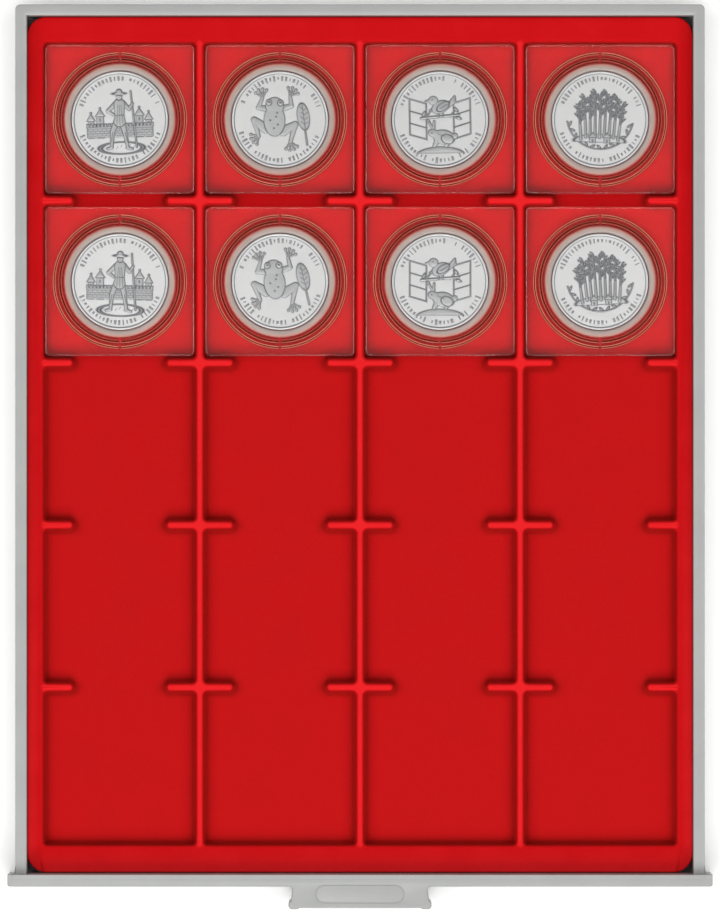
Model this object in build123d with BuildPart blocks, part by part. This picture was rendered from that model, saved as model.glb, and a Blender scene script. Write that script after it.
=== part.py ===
from build123d import *
from math import atan, degrees
import os

# Coin display tray: a shallow drawer with a flocked pocket insert and square coin capsules.
# +X is to the right, +Y to the rear and +Z up, in millimetres.
# The origin is the middle of the footprint, on the surface that the tray stands on.

os.makedirs("parts", exist_ok=True)

# Pocket grid
columns = 4
rows = 5
filled_rows = 2
column_rib = 2.6
row_rib = 2.9
stub_length = 10.0
stub_end_radius = 1.2
pocket_depth = 6.0
pocket_lean = 0.35
pocket_corner_radius = 1.4
pocket_play_x = 0.25
pocket_play_y = 0.45

# Flocked insert, a thin formed sheet with a skirt that stands on the tray's floor
insert_sheet = 0.7
insert_side_border = 4.9
insert_end_border = 8.5
insert_corner_radius = 4.6
insert_clearance = 0.4

# Tray
floor_thickness = 1.6
rim_height = 15.0
side_rim = 3.45
rear_rim = 3.1
front_wall = 1.2
wall_lean = 0.45
flange_overhang = 1.5
flange_thickness = 2.0
rim_inner_chamfer = 0.6
rim_outer_chamfer = 0.25
rear_corner_radius = 1.6
underside_chamfer = 0.4
detent_length = 4.0
detent_flat = 1.3
detent_height = 0.45

# Front panel
panel_height = 20.0
panel_thickness = 2.8
panel_overhang = 2.5
panel_edge_chamfer = 0.4
panel_corner_radius = 0.8

# Finger grip on the front panel, a hood that is open underneath
grip_depth = 7.6
grip_neck_width = 45.0
grip_front_width = 47.0
grip_bottom = 6.0
grip_wall = 1.6
grip_roof = 2.0
grip_root_radius = 1.3
bead_width = 3.9
bead_length = 3.0
bead_corner_radius = 1.25
bead_proud = 0.45
badge_width = 30.0
badge_length = 6.4
badge_groove = 0.5
badge_groove_depth = 0.3
badge_from_front = 5.25

# Dovetails that hold the panel on the tray's front wall
dovetail_root = 6.0
dovetail_lean = 1.0
dovetail_reach = 1.4
dovetail_height = 11.0
dovetail_bottom = 1.0
dovetail_clearance = 0.05
dovetail_spacing_inner = 80.0
dovetail_spacing_outer = 190.0

# Coin capsule: a base and a lid that close on split collars
capsule_side = 50.0
capsule_corner_radius = 1.8
capsule_edge_chamfer = 0.35
base_thickness = 3.1
lid_thickness = 3.1
closing_gap = 0.05
capsule_wall = 1.6
collar_margin = 2.45
collar_thickness = 0.9
collar_spacing = 1.1
recess_lip = 0.85
collar_height = 1.3
collar_clearance = 0.08
collar_slot = 0.8

# Centring ring, which keeps a smaller coin in the middle of the capsule's recess
ring_clearance = 0.1
ring_headroom = 0.15
ring_chamfer = 0.4

# Coin
coin_radius = 16.25
coin_thickness = 2.1
coin_clearance = 0.2
coin_rim_width = 0.8
coin_rim_height = 0.15
coin_edge_chamfer = 0.15

# Pocket and grid sizes, at the top of the ribs
pocket_width = capsule_side + 2 * (pocket_play_x + pocket_lean)
pocket_length = capsule_side + 2 * (pocket_play_y + pocket_lean)
column_pitch = pocket_width + column_rib
row_pitch = pocket_length + row_rib
grid_width = columns * column_pitch - column_rib
grid_length = rows * row_pitch - row_rib
pocket_taper = degrees(atan(pocket_lean / pocket_depth))

# Insert, cavity and tray sizes
insert_width = grid_width + 2 * insert_side_border
insert_length = grid_length + 2 * insert_end_border
cavity_width = insert_width + 2 * (insert_clearance + wall_lean)
cavity_length = insert_length + 2 * (insert_clearance + wall_lean)
cavity_depth = rim_height - floor_thickness
cavity_taper = degrees(atan(wall_lean / cavity_depth))
tray_width = cavity_width + 2 * side_rim
tray_length = front_wall + cavity_length + rear_rim
panel_width = tray_width + 2 * panel_overhang
overall_length = tray_length + panel_thickness + grip_depth

# Places along Y, from the front
grip_front_y = -overall_length / 2
panel_front_y = grip_front_y + grip_depth
tray_front_y = panel_front_y + panel_thickness
tray_mid_y = tray_front_y + tray_length / 2
insert_mid_y = tray_front_y + front_wall + cavity_length / 2

# Heights
pocket_floor_z = floor_thickness + insert_sheet
insert_top_z = pocket_floor_z + pocket_depth
flange_bottom_z = rim_height - flange_thickness

# Capsule radii, from its side inwards to the coin, and the heights inside it
lid_collar_bore = capsule_side / 2 - collar_margin - collar_thickness
base_collar_bore = lid_collar_bore - collar_spacing - collar_thickness
recess_radius = base_collar_bore - recess_lip
ring_radius = recess_radius - ring_clearance
ring_bore = coin_radius + coin_clearance
base_recess_depth = base_thickness - capsule_wall
lid_recess_depth = lid_thickness - capsule_wall
ring_height = base_recess_depth + closing_gap + lid_recess_depth - ring_headroom
groove_depth = collar_height + collar_clearance

# Places of the pockets, the dividers between them, the capsules and the dovetails
column_x = [(i - (columns - 1) / 2) * column_pitch for i in range(columns)]
row_y = [insert_mid_y + ((rows - 1) / 2 - j) * row_pitch for j in range(rows)]
divider_y = [y - row_pitch / 2 for y in row_y[:-1]]
capsule_seats = [(x, y) for y in row_y[:filled_rows] for x in column_x]
dovetail_x = [side * w / 2 for w in (dovetail_spacing_inner, dovetail_spacing_outer) for side in (-1, 1)]


def dovetail(x, clearance):
    # Plan of one dovetail, wider at its tip, in front of the tray's front wall
    root = dovetail_root / 2 + clearance
    tip = root + dovetail_lean
    tip_y = tray_front_y - dovetail_reach - clearance
    corners = [(x - root, tray_front_y), (x + root, tray_front_y), (x + tip, tip_y), (x - tip, tip_y)]
    return Polygon(*corners, align=None)


def grip_outline(inset):
    # Plan of the grip, narrower at its neck than at its front, set in by a wall
    neck = grip_neck_width / 2 - inset
    front = grip_front_width / 2 - inset
    front_y = grip_front_y + bead_proud + inset
    corners = [(-neck, panel_front_y), (neck, panel_front_y), (front, front_y), (-front, front_y)]
    return Polygon(*corners, align=None)


def rim_detent(side):
    # Plan of the small ramp on the flange that holds the closed drawer in its cabinet
    edge = side * tray_width / 2
    proud = edge + side * detent_height
    flat_y = tray_front_y + detent_flat
    corners = [(edge, tray_front_y), (proud, tray_front_y), (proud, flat_y), (edge, tray_front_y + detent_length)]
    return Polygon(*corners, align=None)


def channels(growth, radius):
    # One long channel for each column of pockets, grown on all sides
    with Locations([(x, insert_mid_y) for x in column_x]):
        RectangleRounded(pocket_width + 2 * growth, grid_length + 2 * growth, radius)


def dividers(growth):
    # The short dividers that stand out from both sides of each channel, between its pockets
    width = row_rib + 2 * growth
    radius = min(stub_end_radius, width / 2.5)
    for x in column_x:
        for side in (-1, 1):
            root_x = x + side * (pocket_width + column_rib) / 2
            tip_x = x + side * (pocket_width / 2 - stub_length - growth)
            with Locations([((root_x + tip_x) / 2, y) for y in divider_y]):
                stub = Rectangle(abs(root_x - tip_x), width)
            fillet(stub.vertices().group_by(Axis.X)[-1 if tip_x > root_x else 0], radius=radius)


def collar(bore):
    # Plan of one capsule collar, split by a slot at the front and the rear
    Circle(bore + collar_thickness)
    Circle(bore, mode=Mode.SUBTRACT)
    Rectangle(collar_slot, 2 * (bore + collar_spacing + collar_thickness), mode=Mode.SUBTRACT)


def groove(bore):
    # Plan of the groove that takes a collar, with webs that fill the collar's slots
    Circle(bore + collar_thickness + collar_clearance)
    Circle(bore - collar_clearance, mode=Mode.SUBTRACT)
    web = collar_slot - 2 * collar_clearance
    Rectangle(web, 2 * (bore + collar_spacing + collar_thickness), mode=Mode.SUBTRACT)


# The moulded drawer body: floor, leaning walls and the flange that runs in a cabinet's rails
wall_width = tray_width - 2 * flange_overhang
wall_length = tray_length - flange_overhang
with BuildPart() as frame:
    with BuildSketch():
        with Locations((0, tray_front_y + wall_length / 2)):
            Rectangle(wall_width, wall_length)
    extrude(amount=rim_height)
    fillet(frame.edges().filter_by(Axis.Z).group_by(Axis.Y)[-1], radius=rear_corner_radius)
    chamfer(frame.faces().sort_by(Axis.Z)[0].edges(), length=underside_chamfer)
    with BuildSketch(Plane.XY.offset(flange_bottom_z)):
        with Locations((0, tray_mid_y)):
            flange = Rectangle(tray_width, tray_length)
        fillet(flange.vertices().group_by(Axis.Y)[-1], radius=rear_corner_radius)
    extrude(amount=flange_thickness)
    outer_top = frame.faces().sort_by(Axis.Z)[-1].outer_wire().edges().sort_by(Axis.Y)
    chamfer(outer_top[1:], length=rim_outer_chamfer)
    with BuildSketch(Plane.XY.offset(rim_height)):
        with Locations((0, insert_mid_y)):
            Rectangle(cavity_width, cavity_length)
    extrude(amount=-cavity_depth, taper=cavity_taper, mode=Mode.SUBTRACT)
    chamfer(frame.faces().sort_by(Axis.Z)[-1].inner_wires()[0].edges(), length=rim_inner_chamfer)
    with BuildSketch(Plane.XY.offset(flange_bottom_z)):
        rim_detent(-1)
        rim_detent(1)
    extrude(amount=flange_thickness)
    with BuildSketch(Plane.XY.offset(dovetail_bottom)):
        for x in dovetail_x:
            dovetail(x, 0)
    extrude(amount=dovetail_height)
frame.part.label = "tray_frame"
export_step(frame.part, "parts/tray_frame.step")

# The drawer front: a tall panel with a hooded finger grip and a blank oval badge
bead_x = grip_front_width / 2 + bead_proud - bead_width / 2
bead_y = grip_front_y + bead_length / 2
badge_y = grip_front_y + badge_from_front
with BuildPart() as panel:
    with BuildSketch():
        with Locations((0, panel_front_y + panel_thickness / 2)):
            Rectangle(panel_width, panel_thickness)
    extrude(amount=panel_height)
    fillet(panel.edges().filter_by(Axis.Z).group_by(Axis.Y)[0], radius=panel_corner_radius)
    with BuildSketch(Plane.XY.offset(grip_bottom)):
        grip_outline(0)
        with Locations((-bead_x, bead_y), (bead_x, bead_y)):
            RectangleRounded(bead_width, bead_length, bead_corner_radius)
    extrude(amount=panel_height - grip_bottom)
    roots = panel.edges().filter_by(Axis.Z).filter_by_position(Axis.X, -grip_neck_width, grip_neck_width)
    fillet(roots.group_by(Axis.Y)[-1], radius=grip_root_radius)
    with BuildSketch(Plane.XY.offset(grip_bottom)):
        grip_outline(grip_wall)
    extrude(amount=panel_height - grip_bottom - grip_roof, mode=Mode.SUBTRACT)
    chamfer(panel.faces().sort_by(Axis.Z)[-1].outer_wire().edges(), length=panel_edge_chamfer)
    with BuildSketch(Plane.XY.offset(panel_height)):
        with Locations((0, badge_y)):
            SlotOverall(badge_width, badge_length)
            SlotOverall(badge_width - 2 * badge_groove, badge_length - 2 * badge_groove, mode=Mode.SUBTRACT)
    extrude(amount=-badge_groove_depth, mode=Mode.SUBTRACT)
    with BuildSketch():
        for x in dovetail_x:
            dovetail(x, dovetail_clearance)
    extrude(amount=dovetail_bottom + dovetail_height + dovetail_clearance, mode=Mode.SUBTRACT)
panel.part.label = "front_panel"
export_step(panel.part, "parts/front_panel.step")

# The hollow that a formed sheet leaves under its borders, ribs and dividers
with BuildPart() as under_sheet:
    with BuildSketch(Plane.XY.offset(floor_thickness)):
        with Locations((0, insert_mid_y)):
            hollow_width = insert_width - 2 * insert_sheet
            hollow_length = insert_length - 2 * insert_sheet
            RectangleRounded(hollow_width, hollow_length, insert_corner_radius - insert_sheet)
    extrude(amount=pocket_depth)
    with BuildSketch(Plane.XY.offset(insert_top_z)):
        channels(insert_sheet, pocket_corner_radius + insert_sheet)
    extrude(amount=-(pocket_depth + insert_sheet), taper=pocket_taper, mode=Mode.SUBTRACT)
    with BuildSketch(Plane.XY.offset(insert_top_z - insert_sheet)):
        dividers(-insert_sheet)
    extrude(amount=-pocket_depth, taper=-pocket_taper)

# The flocked insert: a block less its channels, with the dividers put back, less the hollow
with BuildPart() as insert:
    with BuildSketch(Plane.XY.offset(floor_thickness)):
        with Locations((0, insert_mid_y)):
            RectangleRounded(insert_width, insert_length, insert_corner_radius)
    extrude(amount=insert_sheet + pocket_depth)
    with BuildSketch(Plane.XY.offset(insert_top_z)):
        channels(0, pocket_corner_radius)
    extrude(amount=-pocket_depth, taper=pocket_taper, mode=Mode.SUBTRACT)
    with BuildSketch(Plane.XY.offset(insert_top_z)):
        dividers(0)
    extrude(amount=-pocket_depth, taper=-pocket_taper)
    add(under_sheet.part, mode=Mode.SUBTRACT)
insert.part.label = "coin_insert"
export_step(insert.part, "parts/coin_insert.step")

for number, (x, y) in enumerate(capsule_seats, start=1):
    seat = Plane((x, y, pocket_floor_z))
    parting = seat.offset(base_thickness + closing_gap)

    # Lower half: coin recess, standing collar and the groove for the lid's collar
    with BuildPart() as base:
        with BuildSketch(seat):
            RectangleRounded(capsule_side, capsule_side, capsule_corner_radius)
        extrude(amount=base_thickness)
        chamfer(base.faces().sort_by(Axis.Z)[0].edges(), length=capsule_edge_chamfer)
        with BuildSketch(seat.offset(base_thickness)):
            collar(base_collar_bore)
        extrude(amount=collar_height)
        with BuildSketch(seat.offset(base_thickness)):
            groove(lid_collar_bore)
        extrude(amount=-groove_depth, mode=Mode.SUBTRACT)
        with BuildSketch(seat.offset(base_thickness)):
            Circle(recess_radius)
        extrude(amount=-base_recess_depth, mode=Mode.SUBTRACT)
    base.part.label = f"capsule_base_{number}"
    export_step(base.part, f"parts/capsule_base_{number}.step")

    # Upper half: recess over the coin, hanging collar and the groove for the base's collar
    with BuildPart() as lid:
        with BuildSketch(parting):
            RectangleRounded(capsule_side, capsule_side, capsule_corner_radius)
        extrude(amount=lid_thickness)
        chamfer(lid.faces().sort_by(Axis.Z)[-1].edges(), length=capsule_edge_chamfer)
        with BuildSketch(parting):
            collar(lid_collar_bore)
        extrude(amount=-collar_height)
        with BuildSketch(parting):
            groove(base_collar_bore)
        extrude(amount=groove_depth, mode=Mode.SUBTRACT)
        with BuildSketch(parting):
            Circle(recess_radius)
        extrude(amount=lid_recess_depth, mode=Mode.SUBTRACT)
    lid.part.label = f"capsule_lid_{number}"
    export_step(lid.part, f"parts/capsule_lid_{number}.step")

    # Translucent ring between the coin and the recess wall
    with BuildPart() as ring:
        with BuildSketch(seat.offset(capsule_wall)):
            Circle(ring_radius)
            Circle(ring_bore, mode=Mode.SUBTRACT)
        extrude(amount=ring_height)
        chamfer(ring.faces().sort_by(Axis.Z)[-1].inner_wires()[0].edges(), length=ring_chamfer)
    ring.part.label = f"centring_ring_{number}"
    export_step(ring.part, f"parts/centring_ring_{number}.step")

    # Struck disc with a raised rim on both faces
    coin_field = coin_radius - coin_rim_width
    with BuildPart() as coin:
        with BuildSketch(seat.offset(capsule_wall)):
            Circle(coin_radius)
        extrude(amount=coin_thickness)
        chamfer(coin.edges().filter_by(GeomType.CIRCLE), length=coin_edge_chamfer)
        with BuildSketch(seat.offset(capsule_wall)):
            Circle(coin_field)
        extrude(amount=coin_rim_height, mode=Mode.SUBTRACT)
        with BuildSketch(seat.offset(capsule_wall + coin_thickness)):
            Circle(coin_field)
        extrude(amount=-coin_rim_height, mode=Mode.SUBTRACT)
    coin.part.label = f"coin_{number}"
    export_step(coin.part, f"parts/coin_{number}.step")
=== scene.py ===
import bmesh
import bpy
import math
import numpy as np
from mathutils import Matrix, Vector


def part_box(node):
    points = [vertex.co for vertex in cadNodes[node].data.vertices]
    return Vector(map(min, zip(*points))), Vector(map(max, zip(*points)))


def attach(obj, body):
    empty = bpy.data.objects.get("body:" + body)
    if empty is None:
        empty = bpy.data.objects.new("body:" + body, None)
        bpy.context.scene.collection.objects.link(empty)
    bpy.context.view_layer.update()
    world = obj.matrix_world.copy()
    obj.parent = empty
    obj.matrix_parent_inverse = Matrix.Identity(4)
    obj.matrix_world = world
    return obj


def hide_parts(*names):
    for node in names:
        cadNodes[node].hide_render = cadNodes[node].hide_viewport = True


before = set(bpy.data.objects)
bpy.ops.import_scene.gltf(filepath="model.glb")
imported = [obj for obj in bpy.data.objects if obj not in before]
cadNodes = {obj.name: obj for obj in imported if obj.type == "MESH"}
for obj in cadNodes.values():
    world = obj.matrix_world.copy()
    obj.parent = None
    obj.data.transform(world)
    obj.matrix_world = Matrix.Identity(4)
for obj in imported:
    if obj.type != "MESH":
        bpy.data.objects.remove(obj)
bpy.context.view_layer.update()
mm = 0.001
print("frame loaded:", len(cadNodes), "nodes")


# helpers that several pieces share
def hexToLinear(code):
    # sRGB hex to the linear RGBA that a socket takes
    srgb = [int(code[i:i + 2], 16) / 255 for i in (1, 3, 5)]
    linear = [c / 12.92 if c <= 0.04045 else ((c + 0.055) / 1.055) ** 2.4 for c in srgb]
    return (*linear, 1.0)


def addNode(tree, kind, settings=None, links=None):
    # settings hold the node's properties and its sockets' values, links hold what feeds its sockets;
    # a colour ramp takes its stops as (position, hex) pairs
    node = tree.nodes.new(kind)
    for key, value in (settings or {}).items():
        if key == "stops":
            elements = node.color_ramp.elements
            while len(elements) < len(value):
                elements.new(0.5)
            for element, (position, code) in zip(elements, value):
                element.position = position
                element.color = hexToLinear(code)
        elif isinstance(key, str) and hasattr(node, key):
            setattr(node, key, value)
        else:
            node.inputs[key].default_value = value
    for key, source in (links or {}).items():
        tree.links.new(source, node.inputs[key])
    return node


def newMaterial(name):
    material = bpy.data.materials.new(name)
    material.use_nodes = True
    material.node_tree.nodes.clear()
    return material, material.node_tree


def linkObject(name, data):
    obj = bpy.data.objects.new(name, data)
    bpy.context.scene.collection.objects.link(obj)
    return obj


def meshObject(name, points, faces, smooth=True):
    # points in metres, in the part's frame
    mesh = bpy.data.meshes.new(name)
    mesh.from_pydata([tuple(p) for p in points], [], [tuple(f) for f in faces])
    mesh.update()
    if smooth:
        mesh.shade_smooth()
    return linkObject(name, mesh)


def setAttribute(obj, name, values):
    # one number for each point, which a material reads by name
    layer = obj.data.attributes.new(name, "FLOAT", "POINT")
    layer.data.foreach_set("value", np.asarray(values, dtype=float))


def bakeModifiers(obj):
    # the evaluated result becomes the object's own plain mesh
    graph = bpy.context.evaluated_depsgraph_get()
    graph.update()
    mesh = bpy.data.meshes.new_from_object(obj.evaluated_get(graph))
    obj.modifiers.clear()
    old = obj.data
    obj.data = mesh
    bpy.data.meshes.remove(old)
    mesh.name = obj.name
    return obj


def placePiece(obj, material, body, slotName, *replaced):
    obj.data.materials.clear()
    obj.data.materials.append(material)
    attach(obj, body)
    if replaced:
        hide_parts(*replaced)
    return obj


def stackLoops(loops, closeBottom=True, closeTop=True):
    # closed loops of equal length, joined by quads; the first and last may be filled
    count = len(loops[0])
    points = np.concatenate(loops)
    faces = []
    for k in range(len(loops) - 1):
        a, b = k * count, (k + 1) * count
        for i in range(count):
            j = (i + 1) % count
            faces.append((a + i, a + j, b + j, b + i))
    if closeBottom:
        faces.append(tuple(range(count - 1, -1, -1)))
    if closeTop:
        last = (len(loops) - 1) * count
        faces.append(tuple(range(last, last + count)))
    return points, faces


def addShell(points, faces, morePoints, moreFaces):
    # appends a second closed shell to a piece's lists
    shift = len(points)
    joined = np.concatenate([points, morePoints])
    return joined, faces + [tuple(i + shift for i in f) for f in moreFaces]


def objectNoise(tree, grainMm, detail=2.0, seed=0.0, roughness=0.5):
    # noise whose grain is a real size, in object coordinates
    where = addNode(tree, "ShaderNodeTexCoord")
    noise = addNode(
        tree, "ShaderNodeTexNoise",
        {
            "noise_dimensions": "4D", "Scale": 1 / (grainMm * mm), "Detail": detail, "W": seed,
            "Roughness": roughness,
        },
        {"Vector": where.outputs["Object"]},
    )
    return noise.outputs["Fac"]


polystyrene = dict(
    pale="#A2A3A1", dark="#9B9C9B", cloudMm=14, grainMm=0.45, bump=0.05,
    roughness=0.42, roughnessSpread=0.06,
)


def mouldedPolystyrene():
    # high-impact polystyrene, injection moulded: opaque light grey with a fine spark-eroded grain,
    # which gives a soft sheen instead of a mirror
    p = polystyrene
    material, tree = newMaterial("mouldedPolystyrene")
    clouds = objectNoise(tree, p["cloudMm"], detail=3, seed=1.0)
    colour = addNode(
        tree, "ShaderNodeValToRGB", {"stops": ((0.3, p["dark"]), (0.7, p["pale"]))}, {"Fac": clouds}
    )
    grain = objectNoise(tree, p["grainMm"], detail=2, seed=2.0)
    rough = addNode(
        tree, "ShaderNodeMapRange",
        {"To Min": p["roughness"] - p["roughnessSpread"], "To Max": p["roughness"] + p["roughnessSpread"]},
        {"Value": grain},
    )
    bump = addNode(
        tree, "ShaderNodeBump", {"Strength": 0.35, "Distance": p["bump"] * mm}, {"Height": grain}
    )
    shader = addNode(
        tree, "ShaderNodeBsdfPrincipled", {"IOR": 1.59, "Specular IOR Level": 0.4},
        {
            "Base Color": colour.outputs["Color"], "Roughness": rough.outputs["Result"],
            "Normal": bump.outputs["Normal"],
        },
    )
    addNode(tree, "ShaderNodeOutputMaterial", links={"Surface": shader.outputs["BSDF"]})
    return material


flock = dict(
    shades=((0.0, "#860D0A"), (0.25, "#A51211"), (0.5, "#B51214"), (0.75, "#BE0E13"), (1.0, "#DC2024")),
    sheen="#FF3A30", patchMm=11, pileMm=0.32, bump=0.16, variation=0.06,
)


def nylonFlock():
    # short nylon pile glued upright on a formed sheet: no gloss, a soft glow at grazing angles,
    # and a fine grain drawn at a third of a millimetre, coarser than the real fibres.
    # the colour follows a painted light level: a painted highlight on the crests, painted shade down the
    # walls and at their feet
    material, tree = newMaterial("nylonFlock")
    patches = objectNoise(tree, flock["patchMm"], detail=3, seed=3.0)
    pile = objectNoise(tree, flock["pileMm"], detail=2, seed=4.0, roughness=0.6)
    # the point's painted light level, from painted shade at 0 to a painted highlight at 1; the flock's own
    # red sits at 0.5
    paintedLight = addNode(tree, "ShaderNodeAttribute", {"attribute_name": "pile"}).outputs["Fac"]
    mottle = addNode(tree, "ShaderNodeMath", {"operation": "ADD"}, {0: patches, 1: pile}).outputs[0]
    spread = addNode(
        tree, "ShaderNodeMapRange",
        {"From Min": 0.6, "From Max": 1.4, "To Min": -flock["variation"], "To Max": flock["variation"]},
        {"Value": mottle},
    ).outputs["Result"]
    mixed = addNode(tree, "ShaderNodeMath", {"operation": "ADD"}, {0: paintedLight, 1: spread})
    colour = addNode(tree, "ShaderNodeValToRGB", {"stops": flock["shades"]}, {"Fac": mixed.outputs[0]})
    bump = addNode(
        tree, "ShaderNodeBump", {"Strength": 0.5, "Distance": flock["bump"] * mm}, {"Height": pile}
    )
    shader = addNode(
        tree, "ShaderNodeBsdfPrincipled",
        {
            "Roughness": 0.95, "Specular IOR Level": 0.05, "Sheen Weight": 0.22, "Sheen Roughness": 0.4,
            "Sheen Tint": hexToLinear(flock["sheen"]),
        },
        {"Base Color": colour.outputs["Color"], "Normal": bump.outputs["Normal"]},
    )
    addNode(tree, "ShaderNodeOutputMaterial", links={"Surface": shader.outputs["BSDF"]})
    return material


acrylic = dict(
    # from clear, to a painted dark line at 0.5 and a painted salmon highlight at 1
    paintedLineTints=((0.0, "#FDFDFC"), (0.5, "#64342A"), (0.75, "#B8705C"), (1.0, "#EE8C70")),
    glints=((0.4, "#FFFFFF"), (0.55, "#FF9C80")),
    shadows=((0.22, "#F4F5F5"), (0.27, "#78726F"), (0.33, "#78726F"), (0.38, "#F4F5F5")),
    polish=0.015, mouldMatt=0.3, hazeMm=6, haze=0.03, clearness=1.0, edgeClearness=0.5,
)


def letLampsThrough(tree, shader, colour):
    # lamps shine through the piece, as they do through the real one
    passing = addNode(tree, "ShaderNodeBsdfTransparent", links={"Color": colour})
    rays = addNode(tree, "ShaderNodeLightPath")
    mixed = addNode(
        tree, "ShaderNodeMixShader",
        links={0: rays.outputs["Is Shadow Ray"], 1: shader.outputs["BSDF"], 2: passing.outputs["BSDF"]},
    )
    addNode(tree, "ShaderNodeOutputMaterial", links={"Surface": mixed.outputs["Shader"]})


def clearAcrylic():
    # moulded and polished acrylic: water clear, IOR 1.49. the collars' walls come matt from the mould
    # and are tinted salmon as painted highlights, while the ledges between them are tinted dark as painted
    # shade, so a closed capsule shows fine rings
    material, tree = newMaterial("clearAcrylic")
    haze = objectNoise(tree, acrylic["hazeMm"], detail=2, seed=5.0)
    nearEdge = addNode(tree, "ShaderNodeAttribute", {"attribute_name": "nearEdge"}).outputs["Fac"]
    paintedLineTint, glint, shadow = (
        addNode(tree, "ShaderNodeValToRGB", {"stops": acrylic[key]}, {"Fac": nearEdge}).outputs["Color"]
        for key in ("paintedLineTints", "glints", "shadows")
    )
    # the moulded edges are matt and partly opaque, so their painted salmon tint shows as fine painted light
    # lines; their reflections are tinted salmon, a painted reflection of the flock
    matt, clearness = (
        addNode(
            tree, "ShaderNodeMapRange", {"From Min": start, "From Max": end, "To Min": low, "To Max": high},
            {"Value": nearEdge},
        ).outputs["Result"]
        for start, end, low, high in (
            (0.55, 0.9, acrylic["polish"], acrylic["mouldMatt"]),
            (0.85, 1.0, acrylic["clearness"], acrylic["edgeClearness"]),
        )
    )
    rough = addNode(
        tree, "ShaderNodeMath", {"operation": "MULTIPLY_ADD", 1: acrylic["haze"]}, {0: haze, 2: matt}
    )
    clear = addNode(
        tree, "ShaderNodeBsdfPrincipled", {"IOR": 1.49},
        {
            "Base Color": paintedLineTint, "Roughness": rough.outputs[0], "Transmission Weight": clearness,
            "Specular Tint": glint,
        },
    )
    letLampsThrough(tree, clear, shadow)  # its sides throw a dark outline
    return material


centringRing = dict(
    inner=16.45, outer=18.68, topChamfer=0.4, edge=0.12, lift=0.03, points=128, waxMm=3.0, waxSpread=0.12,
    shades=((0.05, "#968B85"), (0.6, "#9B8A83"), (0.85, "#AD7B70"), (1.05, "#9C4A3E")),
    shadows=((0.0, "#A08C86"), (1.0, "#C8B4AE")),
)


def milkyPolyethylene():
    # low-density polyethylene: waxy and translucent, so it is beige-grey beside the coin,
    # and it is painted red towards its outer edge, a painted glow of the flock's light through it
    material, tree = newMaterial("milkyPolyethylene")
    wax = objectNoise(tree, centringRing["waxMm"], detail=3, seed=6.0)
    outward = addNode(tree, "ShaderNodeAttribute", {"attribute_name": "outward"}).outputs["Fac"]
    mixed = addNode(
        tree, "ShaderNodeMath", {"operation": "MULTIPLY_ADD", 1: centringRing["waxSpread"]},
        {0: wax, 2: outward},
    )
    colour = addNode(
        tree, "ShaderNodeValToRGB", {"stops": centringRing["shades"]}, {"Fac": mixed.outputs[0]}
    )
    shadow = addNode(tree, "ShaderNodeValToRGB", {"stops": centringRing["shadows"]}, {"Fac": outward})
    shader = addNode(
        tree, "ShaderNodeBsdfPrincipled",
        {"Roughness": 0.4, "IOR": 1.51, "Transmission Weight": 0.3, "Specular IOR Level": 0.5},
        {"Base Color": colour.outputs["Color"]},
    )
    letLampsThrough(tree, shader, shadow.outputs["Color"])
    return material


silver = dict(
    field="#C3C2C3", frost="#929293", line="#404145", metallic=0.8,
    fieldRoughness=0.31, frostRoughness=0.45, grainMm=0.25, grainSpread=0.12,
)


def struckSilver():
    # fine silver, struck: a satin field and frosted relief, with dark painted shade along the relief's
    # feet, in the cut lines, at the rim's foot and on the border strokes
    material, tree = newMaterial("struckSilver")
    frost = addNode(tree, "ShaderNodeAttribute", {"attribute_name": "frost"})
    line = addNode(tree, "ShaderNodeAttribute", {"attribute_name": "line"})
    metal = addNode(
        tree, "ShaderNodeMix",
        {"data_type": "RGBA", 6: hexToLinear(silver["field"]), 7: hexToLinear(silver["frost"])},
        {0: frost.outputs["Fac"]},
    )
    toned = addNode(
        tree, "ShaderNodeMix", {"data_type": "RGBA", 7: hexToLinear(silver["line"])},
        {0: line.outputs["Fac"], 6: metal.outputs[2]},
    )
    grain = objectNoise(tree, silver["grainMm"], detail=2, seed=7.0)
    blurred = addNode(
        tree, "ShaderNodeMapRange",
        {"To Min": silver["fieldRoughness"], "To Max": silver["frostRoughness"]},
        {"Value": frost.outputs["Fac"]},
    )
    rough = addNode(
        tree, "ShaderNodeMath", {"operation": "MULTIPLY_ADD", 1: silver["grainSpread"]},
        {0: grain, 2: blurred.outputs["Result"]},
    )
    bump = addNode(tree, "ShaderNodeBump", {"Strength": 0.2, "Distance": 0.02 * mm}, {"Height": grain})
    shader = addNode(
        tree, "ShaderNodeBsdfPrincipled", {"Metallic": silver["metallic"]},
        {"Base Color": toned.outputs[2], "Roughness": rough.outputs[0], "Normal": bump.outputs["Normal"]},
    )
    addNode(tree, "ShaderNodeOutputMaterial", links={"Surface": shader.outputs["BSDF"]})
    return material


traySkin = mouldedPolystyrene()
flockSkin = nylonFlock()
acrylicSkin = clearAcrylic()
ringSkin = milkyPolyethylene()
silverSkin = struckSilver()
print("materials made")


trayFrame = dict(
    floor=1.6, rim=3.72, rearRim=3.65, frontWall=1.2, lean=0.05, overhang=1.5, flange=2.0,
    frontCorner=0.15, rearCorner=1.6, innerCorner=0.05, footEdge=0.4, underFlare=0.3, rimEdge=0.3,
    frontLean=0.02, innerEdge=1.05, innerDrop=0.32, innerShare=0.4, floorFillet=0.6, support=0.05,
    cornerSteps=6,
    detent=0.45, detentLength=4.0, detentFlat=1.3, sharpAngle=35,
    dovetailRoot=6.0, dovetailTip=8.0, dovetailReach=1.4, dovetailHeights=(1.0, 12.0), dovetailX=(40, 95),
    innerBevel=((1.06, 0), (0.94, 0.06), (0.06, 0.94), (0, 1.08)),
)


def cornerArc(cx, cy, radius, start, steps):
    # a quarter turn, counter-clockwise from the start angle
    return [
        (cx + radius * math.cos(a), cy + radius * math.sin(a))
        for a in (math.radians(start + 90 * i / steps) for i in range(steps + 1))
    ]


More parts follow.
